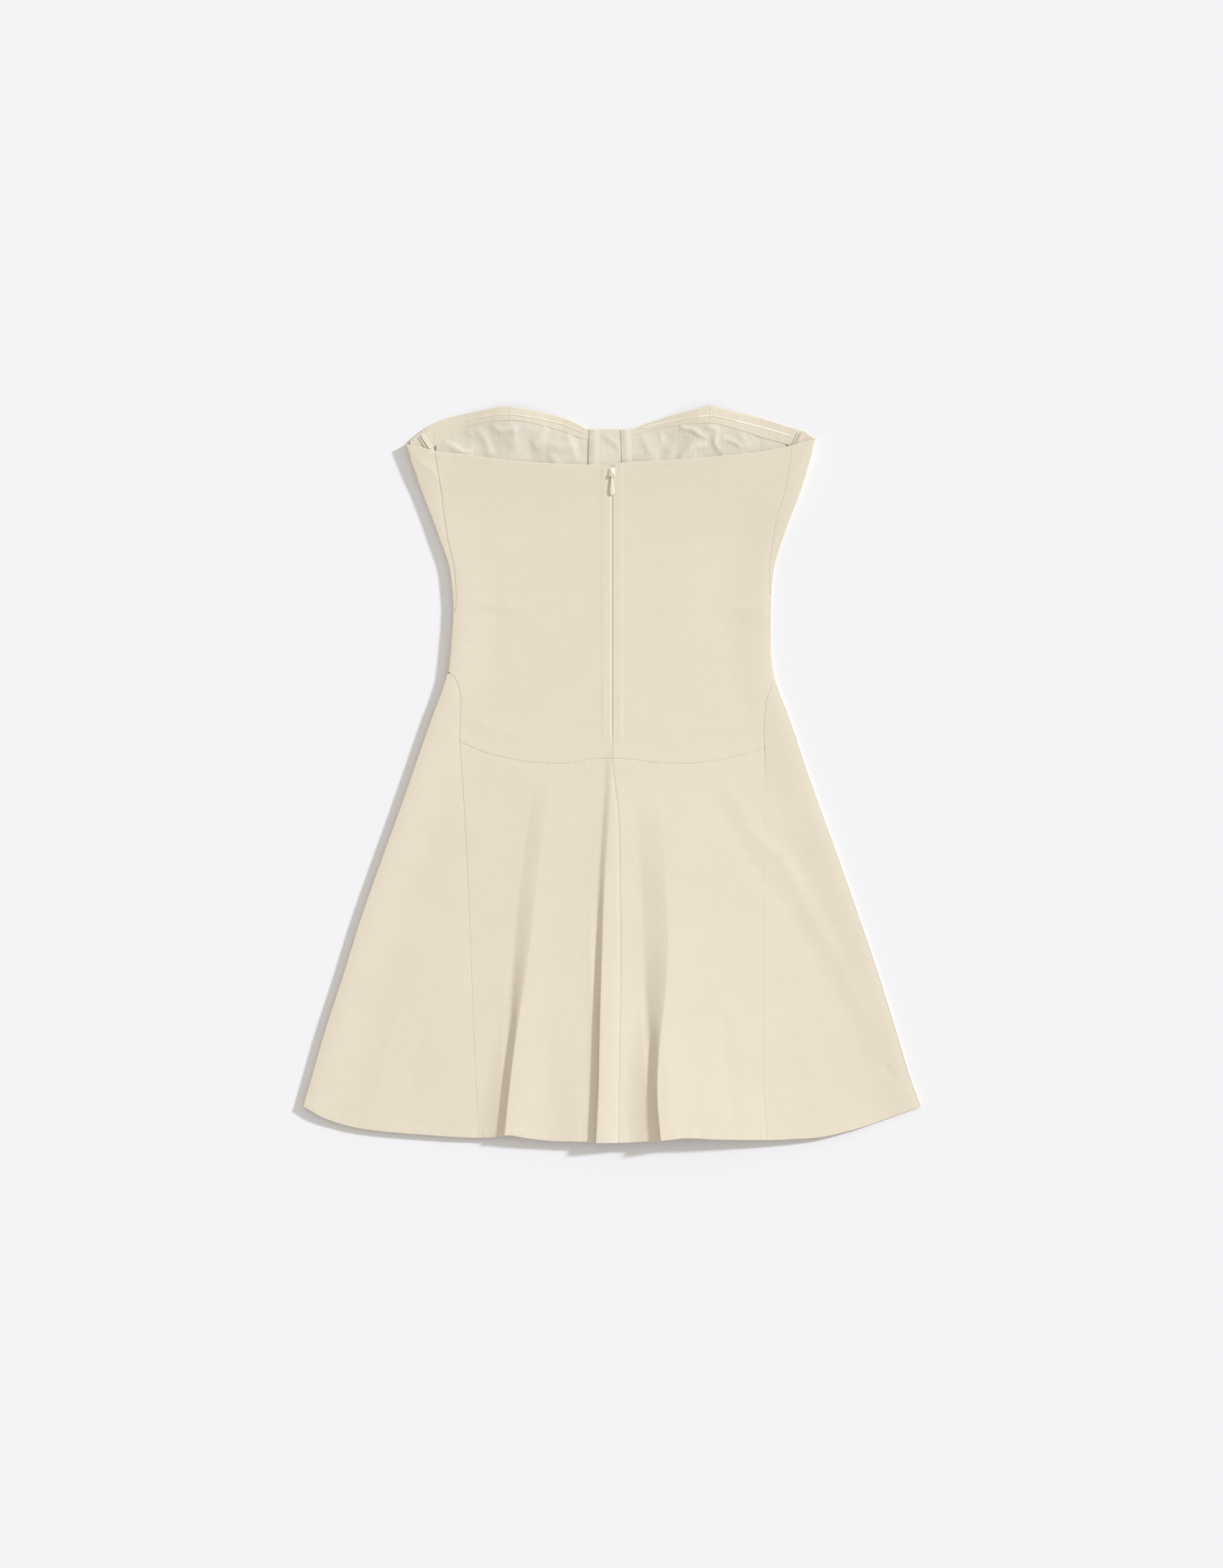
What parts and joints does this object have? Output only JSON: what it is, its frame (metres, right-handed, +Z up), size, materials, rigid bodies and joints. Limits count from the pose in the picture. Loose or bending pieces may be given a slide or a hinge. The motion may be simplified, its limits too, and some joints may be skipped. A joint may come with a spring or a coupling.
{
  "type": "strapless dress",
  "caption": "Cream strapless mini dress laid flat with its back up: sweetheart bust, dropped waist seam, flared skirt, concealed back zip.",
  "frame": {"origin": "on the surface that the dress lies on, under the middle of its outline", "axes": "+X to the wearer's right, +Y from the hem to the neckline, +Z up out of the back"},
  "size_m": [0.6114, 0.7289, 0.0162],
  "materials": {
    "twill": "matte",
    "satin": "satin",
    "gripper": "gloss",
    "tape": "matte",
    "slider": "satin"
  },
  "bodies": {
    "dress": {"bodice_back_left": "twill", "bodice_back_right": "twill", "bodice_side_left": "twill", "bodice_side_right": "twill", "bodice_front_outer_left": "twill", "bodice_front_inner_left": "twill", "bodice_front_centre": "twill", "bodice_front_inner_right": "twill", "bodice_front_outer_right": "twill", "skirt_back_left": "twill", "skirt_back_right": "twill", "skirt_side_left": "twill", "skirt_side_right": "twill", "skirt_front": "twill", "facing_outer_left": "twill", "facing_inner_left": "twill", "facing_inner_right": "twill", "facing_outer_right": "twill", "facing_side_left": "twill", "facing_side_right": "twill", "bone_channel_side_left": "twill", "bone_channel_side_right": "twill", "lining_outer_left": "satin", "lining_inner_left": "satin", "lining_bridge": "satin", "lining_inner_right": "satin", "lining_outer_right": "satin", "bone_channel_centre_left": "satin", "bone_channel_centre_right": "satin", "gripper_tape_left": "gripper", "gripper_tape_right": "gripper", "zip_tape": "tape", "zip_slider": "slider"},
    "pull": {"zip_pull": "slider"}
  },
  "joints": [
    {"name": "pull_hinge", "type": "hinge", "parent": "dress", "child": "pull", "pos_m": [-0.0004, 0.2946, 0.00762], "axis": [-1, 0, 0], "range_deg": [0, 150]}
  ]
}
